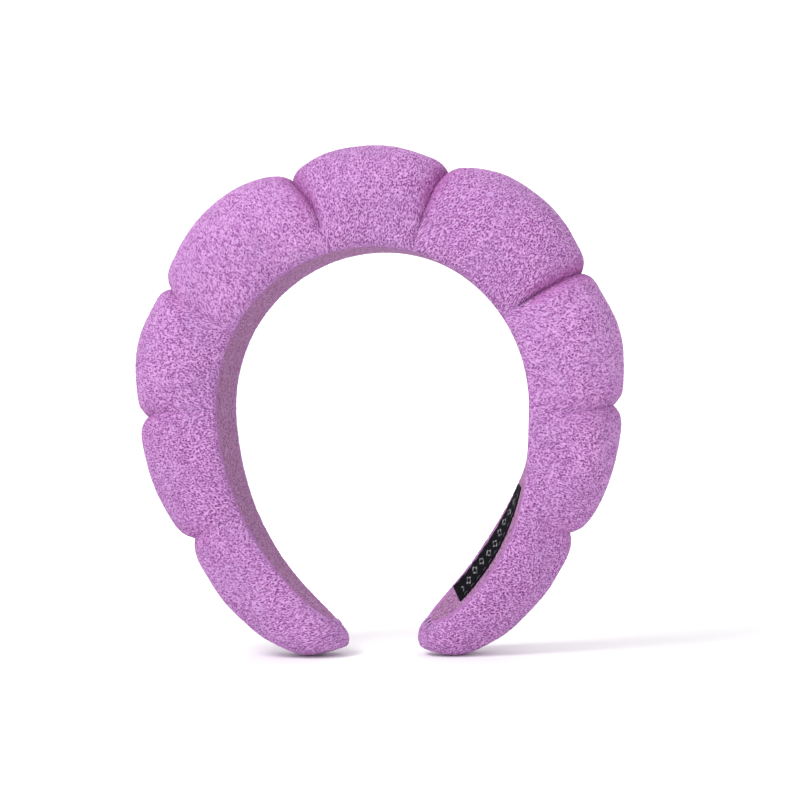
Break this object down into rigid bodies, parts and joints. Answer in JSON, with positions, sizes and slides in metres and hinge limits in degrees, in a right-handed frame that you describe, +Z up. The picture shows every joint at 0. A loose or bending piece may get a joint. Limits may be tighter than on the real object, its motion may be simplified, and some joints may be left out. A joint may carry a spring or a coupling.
{
  "type": "spa headband",
  "caption": "Open, C-shaped padded headband of terry towelling, drawn in by thread into plump lobes, on a springy inner hoop that flexes open over the head.",
  "frame": {"origin": "centre of the round upper half of the head opening, half-way between the front and back edges", "axes": "+Z up to the crown, +Y from the front to the back through the head opening, +X to the right as seen from the front"},
  "size_m": [0.1908, 0.045, 0.1965],
  "materials": {
    "terry": "looped terry pile, matt with a soft sheen",
    "lining": "short brushed pile, matt",
    "foam": "open-cell foam, matt",
    "hoop": "translucent white polypropylene strip",
    "cinch_thread": "twisted polyester thread",
    "seam_thread": "twisted polyester thread",
    "label": "black satin ribbon",
    "label_thread": "silver-grey thread"
  },
  "bodies": {
    "crown": {"hoop": "hoop", "lining": "lining", "front_seam": "seam_thread", "back_seam": "seam_thread", "crown_foam": "foam", "crown_cover": "terry", "right_cinch_1": "cinch_thread", "left_cinch_1": "cinch_thread"},
    "right_upper": {"right_upper_foam": "foam", "right_upper_cover": "terry", "right_cinch_2": "cinch_thread"},
    "right_side": {"right_side_foam": "foam", "right_side_cover": "terry", "right_cinch_3": "cinch_thread"},
    "right_lower": {"right_lower_foam": "foam", "right_lower_cover": "terry", "right_cinch_4": "cinch_thread"},
    "right_tip": {"right_tip_foam": "foam", "right_tip_cover": "terry", "right_tip_stitches": "seam_thread", "label": "label", "label_stitches": "label_thread"},
    "left_upper": {"left_upper_foam": "foam", "left_upper_cover": "terry", "left_cinch_2": "cinch_thread"},
    "left_side": {"left_side_foam": "foam", "left_side_cover": "terry", "left_cinch_3": "cinch_thread"},
    "left_lower": {"left_lower_foam": "foam", "left_lower_cover": "terry", "left_cinch_4": "cinch_thread"},
    "left_tip": {"left_tip_foam": "foam", "left_tip_cover": "terry", "left_tip_stitches": "seam_thread"}
  },
  "joints": [
    {"name": "right_flex_1", "type": "hinge", "parent": "crown", "child": "right_upper", "pos_m": [0.02025, 0, 0.05881], "axis": [0, -1, 0], "range_deg": [-2, 12], "stiffness_Nm_per_rad": 3.1, "deforming": ["hoop", "lining", "front_seam", "back_seam"]},
    {"name": "right_flex_2", "type": "hinge", "parent": "right_upper", "child": "right_side", "pos_m": [0.05332, 0, 0.03204], "axis": [0, -1, 0], "range_deg": [-1.6, 9.3]},
    {"name": "right_flex_3", "type": "hinge", "parent": "right_side", "child": "right_lower", "pos_m": [0.06218, 0, -0.00185], "axis": [0, -1, 0], "range_deg": [-1.2, 6.7]},
    {"name": "right_flex_4", "type": "hinge", "parent": "right_lower", "child": "right_tip", "pos_m": [0.05361, 0, -0.04184], "axis": [0, -1, 0], "range_deg": [-0.9, 5.1], "deforming": ["label", "label_stitches"]},
    {"name": "left_flex_1", "type": "hinge", "parent": "crown", "child": "left_upper", "pos_m": [-0.02025, 0, 0.05881], "axis": [0, 1, 0], "range_deg": [-2, 12], "stiffness_Nm_per_rad": 3.1},
    {"name": "left_flex_2", "type": "hinge", "parent": "left_upper", "child": "left_side", "pos_m": [-0.05332, 0, 0.03204], "axis": [0, 1, 0], "range_deg": [-1.6, 9.3]},
    {"name": "left_flex_3", "type": "hinge", "parent": "left_side", "child": "left_lower", "pos_m": [-0.06218, 0, -0.00185], "axis": [0, 1, 0], "range_deg": [-1.2, 6.7]},
    {"name": "left_flex_4", "type": "hinge", "parent": "left_lower", "child": "left_tip", "pos_m": [-0.05361, 0, -0.04184], "axis": [0, 1, 0], "range_deg": [-0.9, 5.1]}
  ],
  "couplings": [
    {"joint": "right_flex_2", "follows": "right_flex_1", "ratio": 0.77},
    {"joint": "right_flex_3", "follows": "right_flex_1", "ratio": 0.55},
    {"joint": "right_flex_4", "follows": "right_flex_1", "ratio": 0.42},
    {"joint": "left_flex_2", "follows": "left_flex_1", "ratio": 0.77},
    {"joint": "left_flex_3", "follows": "left_flex_1", "ratio": 0.55},
    {"joint": "left_flex_4", "follows": "left_flex_1", "ratio": 0.42}
  ]
}
